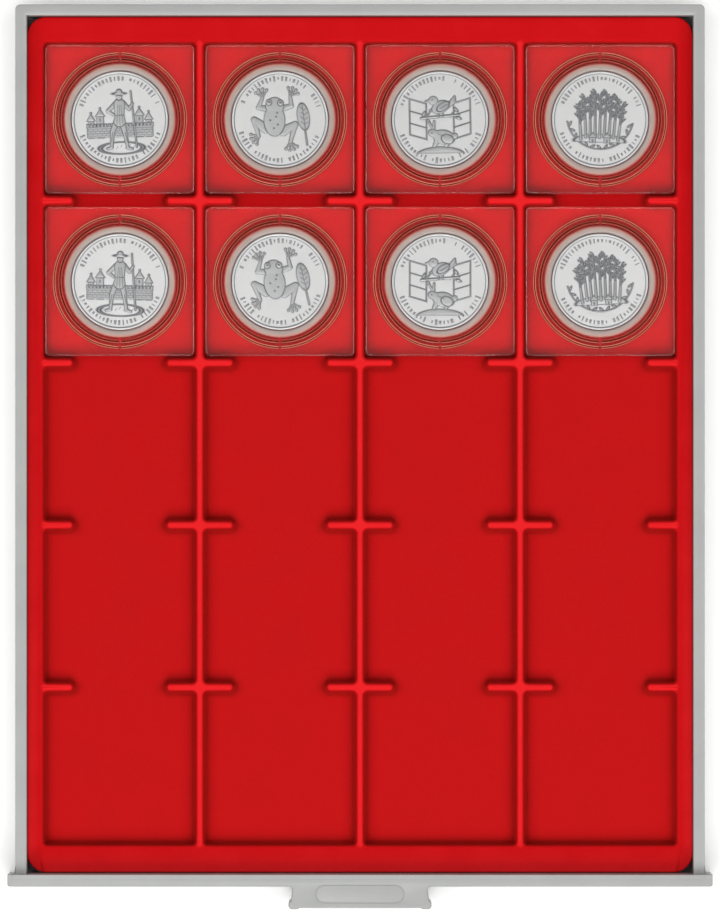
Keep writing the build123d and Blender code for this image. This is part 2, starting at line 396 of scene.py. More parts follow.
def rectangleLoop(xHalf, yFront, yRear, z, rFront, rRear, steps):
    # a rounded rectangle in plan, counter-clockwise, in millimetres; given in metres
    outline = cornerArc(xHalf - rRear, yRear - rRear, rRear, 0, steps)
    outline += cornerArc(rRear - xHalf, yRear - rRear, rRear, 90, steps)
    outline += cornerArc(rFront - xHalf, yFront + rFront, rFront, 180, steps)
    outline += cornerArc(xHalf - rFront, yFront + rFront, rFront, 270, steps)
    return np.array([(x, y, z) for x, y in outline]) * mm


def quarterRound(steps):
    # pairs that go from (0, 1) to (1, 0) round a quarter circle
    return [(math.sin(t), math.cos(t)) for t in (math.pi / 2 * i / steps for i in range(steps + 1))]


def buildTrayFrame():
    t = trayFrame
    low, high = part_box("tray_frame")
    half = high.x / mm - t["detent"]
    front, rear = low.y / mm + t["dovetailReach"], high.y / mm
    wallHalf, wallRear = half - t["overhang"], rear - t["overhang"]
    top, under = high.z / mm, high.z / mm - t["flange"]
    loops = []

    def ring(xHalf, yFront, yRear, z, frontCorner=t["frontCorner"], rearCorner=t["rearCorner"]):
        loops.append(rectangleLoop(xHalf, yFront, yRear, z, frontCorner, rearCorner, t["cornerSteps"]))

    e = t["footEdge"]
    for s, c in quarterRound(3):
        inset = e * (1 - s)
        ring(wallHalf - inset, front + inset, wallRear - inset, e * (1 - c))
    flare, support = t["underFlare"], t["support"]
    ring(wallHalf, front, wallRear, under - flare - support)
    ring(wallHalf + flare, front, wallRear + flare, under - support)
    e = t["rimEdge"]
    ring(half - e, front, rear - e, under)
    ring(half, front, rear, under + e)
    for s, c in quarterRound(4):
        ring(half - e + e * c, front + t["frontLean"] * s, rear - e + e * c, top - e + e * s)
    innerHalf, innerFront, innerRear = half - t["rim"], front + t["frontWall"], rear - t["rearRim"]
    r = t["innerCorner"]
    for share, drop in t["innerBevel"]:
        grow = share * t["innerEdge"]
        frontGrow = min(grow, t["frontWall"] * t["innerShare"])
        ring(innerHalf + grow, innerFront - frontGrow, innerRear + grow, top - t["innerDrop"] * drop, r, r)
    for s, c in quarterRound(5):
        inset = t["lean"] + t["floorFillet"] * (1 - c)
        z = t["floor"] + t["floorFillet"] * (1 - s)
        ring(innerHalf - inset, innerFront + inset, innerRear - inset, z, r, r)
    points, faces = stackLoops(loops)

    # the dovetails that hold the front, and the detents at the flange's front ends
    root, tip, reach = t["dovetailRoot"] / 2, t["dovetailTip"] / 2, t["dovetailReach"]
    prisms = []
    for x in (side * d for d in t["dovetailX"] for side in (-1, 1)):
        plan = [(x - tip, front - reach), (x + tip, front - reach), (x + root, front), (x - root, front)]
        prisms.append((plan, t["dovetailHeights"]))
    for side in (-1, 1):
        edge, proud = side * half, side * (half + t["detent"])
        plan = [(edge, front), (proud, front)]
        plan += [(proud, front + t["detentFlat"]), (edge, front + t["detentLength"])]
        prisms.append((plan[::side], (under, top)))
    for plan, heights in prisms:
        rings = [np.array([(x, y, z) for x, y in plan]) * mm for z in heights]
        points, faces = addShell(points, faces, *stackLoops(rings))
    obj = meshObject("trayBody", points, faces)
    obj.data.set_sharp_from_angle(angle=math.radians(t["sharpAngle"]))
    return placePiece(obj, traySkin, "tray", "tray_plastic", "tray_frame")


buildTrayFrame()
print("tray body made")


drawerFront = dict(
    edge=0.18, bevelSteps=3, sharpAngle=30, weld=0.002, lipDepth=1.15, lipOverlap=1.0, lipDrop=0.03,
    lipInset=0.03, lipStep=0.02, earGap=0.03, earOverlap=0.6,
)


def buildDrawerFront():
    # the CAD shape, merged, with every outer edge broken as a mould leaves it
    p = drawerFront
    mesh = cadNodes["front_panel"].data.copy()
    work = bmesh.new()
    work.from_mesh(mesh)
    bmesh.ops.remove_doubles(work, verts=work.verts, dist=p["weld"] * mm)
    bmesh.ops.dissolve_limit(
        work, angle_limit=math.radians(1), verts=work.verts, edges=work.edges, use_dissolve_boundaries=False
    )
    # a lip behind the panel hooks over the tray's front wall, and its ends run down as two ears
    tray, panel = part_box("tray_frame"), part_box("front_panel")
    back = tray[0].y + (trayFrame["dovetailReach"] + p["lipDepth"]) * mm
    reach = (p["lipDepth"] + p["lipOverlap"]) * mm
    foot, crest = tray[1].z + p["lipStep"] * mm, panel[1].z - p["lipDrop"] * mm
    sideEdge, sole = panel[1].x - p["lipInset"] * mm, panel[0].z + p["lipInset"] * mm
    earInner = tray[1].x + p["earGap"] * mm
    lipEnd = earInner + p["earOverlap"] * mm
    for left, right, under, over in (
        (-lipEnd, lipEnd, foot, crest - p["lipStep"] * mm),
        (-sideEdge, -earInner, sole, crest), (earInner, sideEdge, sole, crest),
    ):
        where = Matrix.Translation(((left + right) / 2, back - reach / 2, (under + over) / 2))
        size = Matrix.Diagonal((right - left, reach, over - under, 1))
        bmesh.ops.create_cube(work, size=1.0, matrix=where @ size)
    work.to_mesh(mesh)
    work.free()
    obj = linkObject("drawerFront", mesh)
    bevel = obj.modifiers.new("brokenEdges", "BEVEL")
    bevel.width = p["edge"] * mm
    bevel.segments = p["bevelSteps"]
    bevel.limit_method = "ANGLE"
    bevel.angle_limit = math.radians(p["sharpAngle"])
    bevel.use_clamp_overlap = True
    bevel.harden_normals = True
    mesh.shade_smooth()
    bakeModifiers(obj)
    return placePiece(obj, traySkin, "tray", "tray_plastic", "front_panel")


buildDrawerFront()
print("drawer front made")


insert = dict(
    columns=4, rows=5, pocketWidth=51.2, pocketLength=51.6, columnRib=2.6, rowRib=2.9, stub=10.0,
    depth=6.0, lean=0.45, ribRound=1.2, floorFillet=0.8, cornerRadius=1.4, tipRadius=1.4, arcSteps=6,
    outerCorner=6.2, outerRound=0.6, flareSide=0.5, flareRear=0.1, flareFront=0.6, borderSteps=8,
    sheet=0.6, sink=0.04, support=0.07, weld=0.005, near=0.01,
    # painted light levels for the flock: a painted highlight on the crests, painted shade on the walls,
    # their feet, the skirt and faces towards the rear; the border, the front strip and the covered floors
    # painted lighter; floorPile is the flock's own tone
    crestHighlight=1.0, wallShade=0.32, footShade=0.12, borderLight=0.76, frontLight=0.95, floorPile=0.5,
    skirtShade=0.2, coveredLight=0.57, coverMargin=0.5, rearShade=0.22,
    floorShade=((0.4, 0.27), (1.1, 0.42), (2.2, 0.5)),
)


def pocketPath(closed):
    # a quarter of a pocket's rim: each point with the normal that faces into the pocket
    p = insert
    wall, side = p["pocketWidth"] / 2, p["pocketLength"] / 2
    halfPitch = side + p["rowRib"] / 2
    rc, rt = p["cornerRadius"], p["tipRadius"]
    steps = p["arcSteps"]
    path = [((wall, y), (-1, 0), None) for y in (0, side / 3, side * 2 / 3)]
    for i in range(steps + 1):
        a = math.pi / 2 * i / steps
        n = (-math.cos(a), -math.sin(a))
        path.append(((wall - rc - rc * n[0], side - rc - rc * n[1]), n, "inner"))
    if closed:
        path += [((x, side), (0, -1), None) for x in (wall * 2 / 3, wall / 3, 0)]
        return path
    tip = wall - p["stub"]
    path.append((((wall + tip) / 2, side), (0, -1), None))
    for i in range(steps + 1):
        a = math.pi / 2 * i / steps
        n = (-math.sin(a), -math.cos(a))
        path.append(((tip + rt + rt * n[0], side + rt + rt * n[1]), n, "outer"))
    path.append(((tip, halfPitch), (-1, 0), None))
    return path


def sheetProfile(top, floor):
    # (distance into the pocket, height, painted light level) from the rib's flat top down the wall to the
    # floor: a painted highlight on the crest fading to painted shade down the wall, at its foot and on the
    # floor beside it
    p = insert
    r, f, lean = p["ribRound"], p["floorFillet"], p["lean"]
    crest, wall = p["crestHighlight"], p["wallShade"]
    section = [(-r - p["support"], top, crest)]
    for s, c in quarterRound(p["arcSteps"]):
        section.append((-r + r * s, top - r + r * c, crest - (crest - wall) * s ** 3))
    for s, c in quarterRound(4):
        section.append((lean + f * (1 - c), floor + f * (1 - s), wall - (wall - p["footShade"]) * (1 - c)))
    section += [(lean + f + reach, floor, pile) for reach, pile in p["floorShade"]]
    return section


def quarterTile(closed, top, floor):
    p = insert
    halfX = (p["pocketWidth"] + p["columnRib"]) / 2
    halfY = (p["pocketLength"] + p["rowRib"]) / 2
    path = pocketPath(closed)
    section = sheetProfile(top, floor)
    points, faces = [], []
    cornerX, cornerY, r = p["pocketWidth"] / 2, p["pocketLength"] / 2, p["cornerRadius"]
    for d, z, pile in section:
        for (x, y), (nx, ny), turn in path:
            if turn == "inner" and d > r:  # past its radius the corner's arc is one point
                points.append((cornerX - d, cornerY - d, z, pile))
            else:
                points.append((x + d * nx, y + d * ny, z, pile))
    count = len(path)
    for k in range(len(section) - 1):
        for i in range(count - 1):
            a, b = k * count + i, (k + 1) * count + i
            faces.append((a, a + 1, b + 1, b))
    crest = list(range(count))
    bed = [(len(section) - 1) * count + i for i in range(count)]
    if closed:
        points += [(x, y, top, p["crestHighlight"]) for x, y in ((0, halfY), (halfX, halfY), (halfX, 0))]
        points.append((0, 0, floor, p["floorPile"]))
        n = len(points)
        faces.append(tuple(reversed(crest + [n - 4, n - 3, n - 2])))
        faces.append(tuple(bed + [n - 1]))
    else:
        points += [(x, y, top, p["crestHighlight"]) for x, y in ((halfX, halfY), (halfX, 0))]
        points += [(x, y, floor, p["floorPile"]) for x, y in ((0, halfY), (0, 0))]
        n = len(points)
        faces.append(tuple(reversed(crest + [n - 4, n - 3])))
        faces.append(tuple(bed + [n - 2, n - 1]))
    return np.array(points), faces


def pocketTile(name, rearClosed, top, floor):
    # four mirrored quarters round a pocket's middle
    points, faces = np.zeros((0, 4)), []
    for sx in (1, -1):
        for sy in (1, -1):
            q, f = quarterTile(rearClosed and sy > 0, top, floor)
            f = f if sx * sy > 0 else [tuple(reversed(t)) for t in f]
            points, faces = addShell(points, faces, q * (sx, sy, 1, 1), f)
    obj = meshObject(name, points[:, :3] * mm, faces)
    setAttribute(obj, "pile", points[:, 3])
    return obj


def insertBorder(middle, half, top, foot):
    # the flat strip between the pocket grid and the skirt, with the skirt itself
    p = insert
    halfX = p["columns"] * (p["pocketWidth"] + p["columnRib"]) / 2
    halfY = p["rows"] * (p["pocketLength"] + p["rowRib"]) / 2
    loops = []
    section = [(p["outerRound"] + p["support"], top)]
    section += [(p["outerRound"] * (1 - s), top - p["outerRound"] * (1 - c)) for s, c in quarterRound(6)]
    section.append((0.0, foot))
    for inset, z in section:
        flared = z > foot
        r = p["outerCorner"] - inset
        x = half[0] + p["flareSide"] * flared - inset
        yFront = middle - half[1] - p["flareFront"] * flared + inset
        yRear = middle + half[1] + p["flareRear"] * flared - inset
        loops.append(rectangleLoop(x, yFront, yRear, z, r, r, p["borderSteps"]))
    work = bmesh.new()
    pile = work.verts.layers.float.new("pile")
    rings = [[work.verts.new(q) for q in loop] for loop in loops]
    for k, loop in enumerate(rings):
        for vert in loop:
            # the front strip is painted lighter against the shadow that the drawer front throws there, and
            # the skirt is painted dark as painted shade
            atFront = vert.co.y < (middle - half[1] + p["outerCorner"]) * mm
            vert[pile] = p["frontLight"] if atFront else p["borderLight"]
            if k > len(rings) - 3:
                vert[pile] = p["skirtShade"]
    count = len(rings[0])
    for a, b in zip(rings, rings[1:]):
        for i in range(count):
            j = (i + 1) % count
            work.faces.new((a[i], b[i], b[j], a[j]))
    xs = [(-1 + i / p["columns"]) * halfX for i in range(2 * p["columns"] + 1)]
    ys = [middle + (-1 + i / p["rows"]) * halfY for i in range(2 * p["rows"] + 1)]
    inner = [(x, ys[0]) for x in xs] + [(xs[-1], y) for y in ys[1:]]
    inner += [(x, ys[-1]) for x in xs[-2::-1]] + [(xs[0], y) for y in ys[-2:0:-1]]
    innerVerts = [work.verts.new((x * mm, y * mm, top * mm)) for x, y in inner]
    for vert in innerVerts:
        vert[pile] = p["borderLight"]
    edges = [work.edges.new((innerVerts[i], innerVerts[i - 1])) for i in range(len(innerVerts))]
    edges += [work.edges.get((rings[0][i], rings[0][i - 1])) for i in range(count)]
    bmesh.ops.triangle_fill(work, use_beauty=True, use_dissolve=False, edges=edges, normal=(0, 0, 1))
    mesh = bpy.data.meshes.new("coinInsert")
    work.to_mesh(mesh)
    work.free()
    mesh.shade_smooth()
    return linkObject("coinInsert", mesh)


def newGeometryTree(name, inputs):
    # a node group with named inputs, the first being the geometry that the rest is joined to
    tree = bpy.data.node_groups.new(name, "GeometryNodeTree")
    for label, kind, value in inputs:
        socket = tree.interface.new_socket(label, in_out="INPUT", socket_type="NodeSocket" + kind)
        if value is not None:
            socket.default_value = value
    tree.interface.new_socket("Geometry", in_out="OUTPUT", socket_type="NodeSocketGeometry")
    return tree, addNode(tree, "NodeGroupInput").outputs


def joinPlaced(tree, given, instances, shift):
    # moves the instances, makes them real and joins them to the first input
    moved = addNode(tree, "GeometryNodeTransform", links={"Geometry": instances, "Translation": shift})
    real = addNode(tree, "GeometryNodeRealizeInstances", links={0: moved.outputs[0]})
    whole = addNode(tree, "GeometryNodeJoinGeometry")
    for item in (given[0], real.outputs[0]):
        tree.links.new(item, whole.inputs[0])
    return whole.outputs[0]


def endTree(tree, given, geometry):
    skinned = addNode(
        tree, "GeometryNodeSetMaterial", links={"Geometry": geometry, "Material": given["Skin"]}
    )
    addNode(tree, "NodeGroupOutput", links={"Geometry": skinned.outputs[0]})
    return tree


def pocketGridTree():
    # sets the end tiles at the grid's first and last rows and the middle tiles between them
    tree, given = newGeometryTree("pocketGrid", (
        ("Border", "Geometry", None), ("Middle tile", "Object", None), ("End tile", "Object", None),
        ("Columns", "Int", 4), ("Rows", "Int", 5), ("Column pitch", "Float", 0.05),
        ("Row pitch", "Float", 0.05), ("Middle", "Float", 0.0), ("Skin", "Material", None),
    ))
    spans = []
    for count, pitch in (("Columns", "Column pitch"), ("Rows", "Row pitch")):
        gaps = addNode(tree, "ShaderNodeMath", {"operation": "SUBTRACT", 1: 1}, {0: given[count]})
        links = {0: gaps.outputs[0], 1: given[pitch]}
        span = addNode(tree, "ShaderNodeMath", {"operation": "MULTIPLY"}, links)
        spans.append(span.outputs[0])
    grid = addNode(
        tree, "GeometryNodeMeshGrid",
        links={
            "Size X": spans[0], "Size Y": spans[1], "Vertices X": given["Columns"],
            "Vertices Y": given["Rows"],
        },
    )
    position = addNode(tree, "GeometryNodeInputPosition").outputs[0]
    y = addNode(tree, "ShaderNodeSeparateXYZ", links={0: position}).outputs["Y"]
    away = addNode(tree, "ShaderNodeMath", {"operation": "ABSOLUTE"}, {0: y}).outputs[0]
    # half the span, less a millimetre
    limit = addNode(tree, "ShaderNodeMath", {"operation": "MULTIPLY_ADD", 1: 0.5, 2: -mm}, {0: spans[1]})
    atEnd = addNode(
        tree, "ShaderNodeMath", {"operation": "GREATER_THAN"}, {0: away, 1: limit.outputs[0]}
    ).outputs[0]
    inMiddle = addNode(tree, "ShaderNodeMath", {"operation": "SUBTRACT", 0: 1}, {1: atEnd}).outputs[0]
    inFront = addNode(tree, "ShaderNodeMath", {"operation": "LESS_THAN", 1: 0}, {0: y}).outputs[0]
    turn = addNode(tree, "ShaderNodeMath", {"operation": "MULTIPLY", 1: math.pi}, {0: inFront}).outputs[0]
    facing = addNode(tree, "ShaderNodeCombineXYZ", links={"Z": turn}).outputs[0]
    pockets = addNode(tree, "GeometryNodeJoinGeometry")
    for socket, chosen, rotation in (
        ("Middle tile", inMiddle, {}), ("End tile", atEnd, {"Rotation": facing}),
    ):
        tile = addNode(tree, "GeometryNodeObjectInfo", links={"Object": given[socket]}).outputs["Geometry"]
        links = {"Points": grid.outputs["Mesh"], "Selection": chosen, "Instance": tile, **rotation}
        placed = addNode(tree, "GeometryNodeInstanceOnPoints", links=links)
        tree.links.new(placed.outputs["Instances"], pockets.inputs[0])
    shift = addNode(tree, "ShaderNodeCombineXYZ", links={"Y": given["Middle"]}).outputs[0]
    whole = joinPlaced(tree, given, pockets.outputs[0], shift)
    merged = addNode(
        tree, "GeometryNodeMergeByDistance", {"Distance": insert["weld"] * mm}, {"Geometry": whole}
    )
    return endTree(tree, given, merged.outputs[0])


def setInputs(modifier, values):
    # each named input is set by its socket's identifier
    for item in modifier.node_group.interface.items_tree:
        if item.item_type == "SOCKET" and item.in_out == "INPUT" and item.name in values:
            modifier[item.identifier] = values[item.name]


def paintLightOnPile(obj, middle, floor):
    # the outermost crests' painted highlight is toned down to the border's, faces towards the rear get
    # painted shade, and the floors that capsules cover are painted lighter, to make up for the light the
    # capsules take
    p = insert
    mesh = obj.data
    count = len(mesh.vertices)
    points, normals, pile = np.zeros(count * 3), np.zeros(count * 3), np.zeros(count)
    mesh.vertices.foreach_get("co", points)
    mesh.vertex_normals.foreach_get("vector", normals)
    layer = mesh.attributes["pile"].data
    layer.foreach_get("value", pile)
    x, y, z = (points.reshape(-1, 3) / mm).T
    outX, outY, near = np.abs(x), np.abs(y - middle), p["near"]
    gridX = p["columns"] * (p["pocketWidth"] + p["columnRib"]) / 2
    gridY = p["rows"] * (p["pocketLength"] + p["rowRib"]) / 2
    edgeX, edgeY = gridX - p["columnRib"] / 2, gridY - p["rowRib"] / 2
    crest = (outX > edgeX - near) & (outX < gridX + near) | (outY > edgeY - near) & (outY < gridY + near)
    pile[crest] = np.minimum(pile[crest], p["borderLight"])
    facing = np.clip(normals.reshape(-1, 3)[:, 1], 0, 1)
    pile -= np.where(outY < edgeY + near, p["rearShade"] * facing, 0)
    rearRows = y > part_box("capsule_base_5")[0].y / mm - p["coverMargin"]
    covered = rearRows & (np.abs(z - floor) < near) & (pile > p["floorPile"] - near)
    pile[covered] = p["coveredLight"]
    layer.foreach_set("value", pile)


def buildCoinInsert():
    p = insert
    low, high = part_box("coin_insert")
    low, high = low / mm, high / mm
    middle = (low.y + high.y) / 2
    top, foot = high.z, low.z
    floor = top - p["depth"] - p["sink"]  # the pile gives a little under a capsule
    middleTile = pocketTile("middleTile", False, top, floor)
    endTile = pocketTile("endTile", True, top, floor)
    obj = insertBorder(middle, (high.x, high.y - middle), top, foot)
    modifier = obj.modifiers.new("pocketGrid", "NODES")
    modifier.node_group = pocketGridTree()
    setInputs(modifier, {
        "Middle tile": middleTile, "End tile": endTile, "Columns": p["columns"], "Rows": p["rows"],
        "Column pitch": (p["pocketWidth"] + p["columnRib"]) * mm,
        "Row pitch": (p["pocketLength"] + p["rowRib"]) * mm, "Middle": middle * mm, "Skin": flockSkin,
    })
    sheet = obj.modifiers.new("sheet", "SOLIDIFY")
    sheet.thickness = p["sheet"] * mm
    sheet.offset = -1
    bakeModifiers(obj)
    paintLightOnPile(obj, middle, floor)
    for tile in (middleTile, endTile):
        bpy.data.objects.remove(tile)
    return placePiece(obj, flockSkin, "insert", "flocked_red", "coin_insert")


buildCoinInsert()
print("flocked insert made")


capsule = dict(
    side=50.0, corner=1.8, edge=0.35, innerEdge=0.1, thickness=3.1, wall=1.6, recess=18.8,
    lidCollar=(21.65, 22.55), baseCollar=(19.65, 20.55), play=0.08, collarHeight=1.3, slot=0.8, tip=0.16,
    sideSteps=36, cornerSteps=8, support=0.06, draft=0.1, proud=0.002, tipShare=0.3, lead=0.15, ledge=0.3,
    slotMargin=1.02, grooveBand=0.14, collarBand=0.12, sharpAngle=35,
    # painted tones: painted shade on the sides and ledges, painted light lines on the bevel, groove walls
    # and recess edge
    sideTone=0.3, edgeTone=0.66, dimTone=0.5, grooveTone=0.85, recessTone=0.93,
    lineSteps=((0.14, 0), (0.28, 0), (0.42, 1), (0.56, 0), (0.68, 0)), lineTones=(0.3, 0.45),
)


def capsuleAngles():
    # directions from the capsule's middle: close together at the corners and at the collars' slots
    p = capsule
    half, flat = p["side"] / 2, p["side"] / 2 - p["corner"]
    cornerStart = math.degrees(math.atan2(flat, half))
    slotEdge = math.degrees(p["slot"] / 2 / p["baseCollar"][0])
    webEdge = math.degrees((p["slot"] / 2 - p["play"]) / p["lidCollar"][0])
    angles = []
    for quarter in range(4):
        turn = (90 - 2 * cornerStart) / p["cornerSteps"]
        steps = [cornerStart + turn * i for i in range(p["cornerSteps"] + 1)]
        steps += [cornerStart * (2 * i / p["sideSteps"] - 1) for i in range(p["sideSteps"])]
        if quarter % 2:
            steps += [s * e for s in (-1, 1) for e in (slotEdge, slotEdge * 1.08, webEdge, webEdge * 0.92)]
        angles += [90 * quarter + a for a in steps]
    return np.radians(sorted(set(angles)))


def squareRing(angles, inset, z):
    # the capsule's rounded-square outline, in from its side by the inset
    p = capsule
    half = p["side"] / 2 - inset
    r = p["corner"] - inset
    c, s = np.abs(np.cos(angles)), np.abs(np.sin(angles))
    reach = half / np.maximum(c, s)
    centre = half - r
    b = centre * (c + s)
    rounded = b + np.sqrt(np.maximum(b * b - (2 * centre ** 2 - r * r), 0))
    onCorner = np.minimum(c, s) * reach > centre
    reach = np.where(onCorner, rounded, reach)
    return np.column_stack([reach * np.cos(angles), reach * np.sin(angles), np.full(len(angles), z)])


def circleRing(angles, radius, z, slotHalf=0.0, slotZ=None):
    # a round loop; inside the slot at the front and the rear it takes the slot's height
    x, y = radius * np.cos(angles), radius * np.sin(angles)
    heights = np.full(len(angles), float(z))
    if slotZ is not None:
        heights[np.abs(np.sin(np.pi / 2 - angles)) * radius < slotHalf] = slotZ
    return np.column_stack([x, y, heights])


def capsuleHalf(collar, groove):
    # one half, outside down and inside up, with its parting face at z = 0;
    # a fourth number, near the collars and edges, is a painted tone: 0 clear, 0.5 a painted dark line, 1 a
    # painted light line
    p = capsule
    angles = capsuleAngles()
    edge, tip, draft, support = p["innerEdge"], p["tip"], p["draft"], p["support"]
    loops = []

    def add(ring, nearEdge=0.0, slotHalf=0.0):
        # the lines break where the slots cut them
        inSlot = np.abs(np.cos(angles)) * np.hypot(ring[:, 0], ring[:, 1]) < slotHalf
        loops.append(np.column_stack([ring, np.where(inSlot, 0.0, nearEdge)]))

    add(circleRing(angles, p["recess"], -p["thickness"]))
    add(squareRing(angles, p["edge"] + support, -p["thickness"]))
    # the outer bevel takes a painted light line
    for s, c in quarterRound(3):
        z = -p["thickness"] + p["edge"] * (1 - c)
        add(squareRing(angles, p["edge"] * (1 - s), z), p["edgeTone"] * s)
    # the sides are tinted darker as painted shade
    for z in (-p["thickness"] + p["edge"] + support, -edge - support):
        add(squareRing(angles, 0, z), p["sideTone"])
    for s, c in quarterRound(2):
        add(squareRing(angles, edge * (1 - c), -edge * (1 - s)), p["sideTone"] * s)
    add(squareRing(angles, edge + support, 0))
    # each row: radius, height, height inside the slot, painted tone
    dim, matt, proud = p["dimTone"], p["grooveTone"], p["proud"]
    low, high = groove[0] - p["play"], groove[1] + p["play"]
    depth = -(p["collarHeight"] + p["play"])
    middle, band = (low + high) / 2, p["grooveBand"]
    grooveLoops = [
        (high, 0, None, 1), (high - draft, depth, -proud, matt), (middle + band, depth, -proud, dim),
        (middle - band, depth, -proud, dim), (low + draft, depth, -proud, matt), (low, 0, None, 1),
    ]
    outer, inner, crown = collar[1] - draft, collar[0] + draft, p["collarHeight"]
    middle, band, soft = (collar[0] + collar[1]) / 2, p["collarBand"], tip * p["tipShare"]
    collarLoops = [
        (collar[1], 0, None, 1), (outer, crown - tip, proud, 1), (outer - soft, crown - soft, proud, 1),
        (outer - tip, crown, proud, 1), (middle + band, crown, proud, dim),
        (middle - band, crown, proud, dim), (inner + tip, crown, proud, 1),
        (inner + soft, crown - soft, proud, 1), (inner, crown - tip, proud, 1), (collar[0], 0, None, 1),
    ]
    webHalf, slotHalf = p["slot"] / 2 - p["play"], p["slot"] / 2 * p["slotMargin"]
    features = [(webHalf, grooveLoops), (slotHalf, collarLoops)]
    if collar[0] > groove[0]:
        features.reverse()
    add(circleRing(angles, features[0][1][0][0] + p["lead"], 0))
    for (half, feature), lineTone in zip(features, p["lineTones"]):
        for r, z, slotZ, tone in feature:
            add(circleRing(angles, r, z, half, slotZ), tone, slotHalf)
        # faint painted dark lines beside each feature
        for away, share in p["lineSteps"]:
            add(circleRing(angles, feature[-1][0] - away, 0), lineTone * share, slotHalf)
    recessDeep = -(p["thickness"] - p["wall"])
    # a painted light line at the recess edge
    add(circleRing(angles, p["recess"] + edge, 0), p["recessTone"])
    for r, z in ((p["recess"], -edge), (p["recess"], recessDeep), (p["recess"] - p["ledge"], recessDeep)):
        add(circleRing(angles, r, z))
    return stackLoops(loops)


def buildCapsules():
    p = capsule
    base = capsuleHalf(p["baseCollar"], p["lidCollar"])
    lid = capsuleHalf(p["lidCollar"], p["baseCollar"])
    for number in range(1, 9):
        for kind, (points, faces), flip in (("base", base, 1), ("lid", lid, -1)):
            node = f"capsule_{kind}_{number}"
            low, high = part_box(node)
            middle = (low + high) / 2 / mm
            parting = low.z / mm + p["thickness"] if flip > 0 else high.z / mm - p["thickness"]
            placed = points[:, :3] * (1, flip, flip) + (middle.x, middle.y, parting)
            obj = meshObject(f"capsule{kind.title()}{number}", placed * mm, faces)
            obj.data.set_sharp_from_angle(angle=math.radians(p["sharpAngle"]))
            setAttribute(obj, "nearEdge", points[:, 3])
            body = f"capsule_{number}" if flip > 0 else f"lid_{number}"
            placePiece(obj, acrylicSkin, body, "clear_acrylic", node)


buildCapsules()
print("capsules made")


def buildCentringRings():
    p = centringRing
    angles = np.linspace(0, 2 * math.pi, p["points"], endpoint=False)
    for number in range(1, 9):
        low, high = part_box(f"centring_ring_{number}")
        middle = (low + high) / 2 / mm
        bottom, top = low.z / mm + p["lift"], high.z / mm
        e, inner, outer = p["edge"], p["inner"], p["outer"]
        section = [
            (inner, bottom + e), (inner + e, bottom), (outer - e, bottom), (outer, bottom + e),
            (outer, top - e), (outer - e * 0.3, top - e * 0.3), (outer - e, top),
            (inner + p["topChamfer"] + e, top), (inner + p["topChamfer"] - e / 2, top - e / 2),
            (inner + e / 2, top - p["topChamfer"] + e / 2), (inner, top - p["topChamfer"] - e),
        ]
        loops = [circleRing(angles, r, z) for r, z in section]
        points, faces = stackLoops(loops, closeBottom=False, closeTop=False)
        count, last = len(angles), (len(section) - 1) * len(angles)
        faces += [(last + i, last + (i + 1) % count, (i + 1) % count, i) for i in range(count)]
        obj = meshObject(f"centringRing{number}", (points + (middle.x, middle.y, 0)) * mm, faces)
        outward = (np.hypot(points[:, 0], points[:, 1]) - inner) / (outer - inner)
        setAttribute(obj, "outward", outward)
        obj.data.set_sharp_from_angle(angle=math.radians(40))
        placePiece(obj, ringSkin, f"capsule_{number}", "ring_polyethylene", f"centring_ring_{number}")


buildCentringRings()
print("centring rings made")


coin = dict(
    radius=16.25, thickness=2.1, lift=0.03, cells=192, reeds=128, reedDepth=0.14, fieldRadius=15.1,
    rimInner=15.4, rimWidth=0.6, fieldDepth=0.25, underDepth=0.15, underRadii=(13.6, 14.9, 15.3),
    lowEdge=((-0.3, 0), (-0.12, 0.05), (0, 0.2)), highEdge=((0, -0.2), (-0.12, -0.05), (-0.25, 0)),
    rimRound=(0.08, 0.06), rimFoot=0.02, fade=(0.1, 0.4), sink=0.01,
    reliefEdge=0.1, reliefStep=0.3, stepShare=0.45, overlap=0.3, outline=0.17, outlineShift=0.05,
    cutTone=0.8, sharpAngle=50,
    marks=64, marksRadius=13.75, markLength=1.3, markWidth=0.4, markHeight=0.12, markTone=0.42,
    markGap=0.32, markShare=0.9, markFrost=0.9, markChamfer=0.04,
    markShoulders=((0, 0), (0.03, 0.6), (0.09, 1)),
    rimFrost=0.45, turns=(2, -3, 1, -2, -1, 2, 0, 3),
)


def discGrid(cells):
    # a square grid drawn out to a disc of radius 1, so its cells stay even in size
    a, b = np.meshgrid(np.linspace(-1, 1, cells + 1), np.linspace(-1, 1, cells + 1))
    with np.errstate(divide="ignore", invalid="ignore"):
        wide = np.abs(a) > np.abs(b)
        reach = np.where(wide, a, b)
        angle = np.where(wide, math.pi / 4 * b / a, math.pi / 2 - math.pi / 4 * a / b)
    angle = np.where(reach == 0, 0, angle)
    return (reach * np.cos(angle)).ravel(), (reach * np.sin(angle)).ravel()


def discEdge(cells):
    # indices round the grid's edge, counter-clockwise
    row = cells + 1
    south = list(range(0, cells))
    east = [i * row + cells for i in range(cells)]
    north = [cells * row + i for i in range(cells, 0, -1)]
    west = [i * row for i in range(cells, 0, -1)]
    return south + east + north + west


def ovalShape(art, cx, cy, rx, ry, turn=0.0):
    # signed distances in millimetres, negative inside
    c, s = math.cos(math.radians(turn)), math.sin(math.radians(turn))
    dx, dy = art["x"] - cx, art["y"] - cy
    u, v = (dx * c + dy * s) / rx, (dy * c - dx * s) / ry
    return (np.hypot(u, v) - 1) * min(rx, ry)


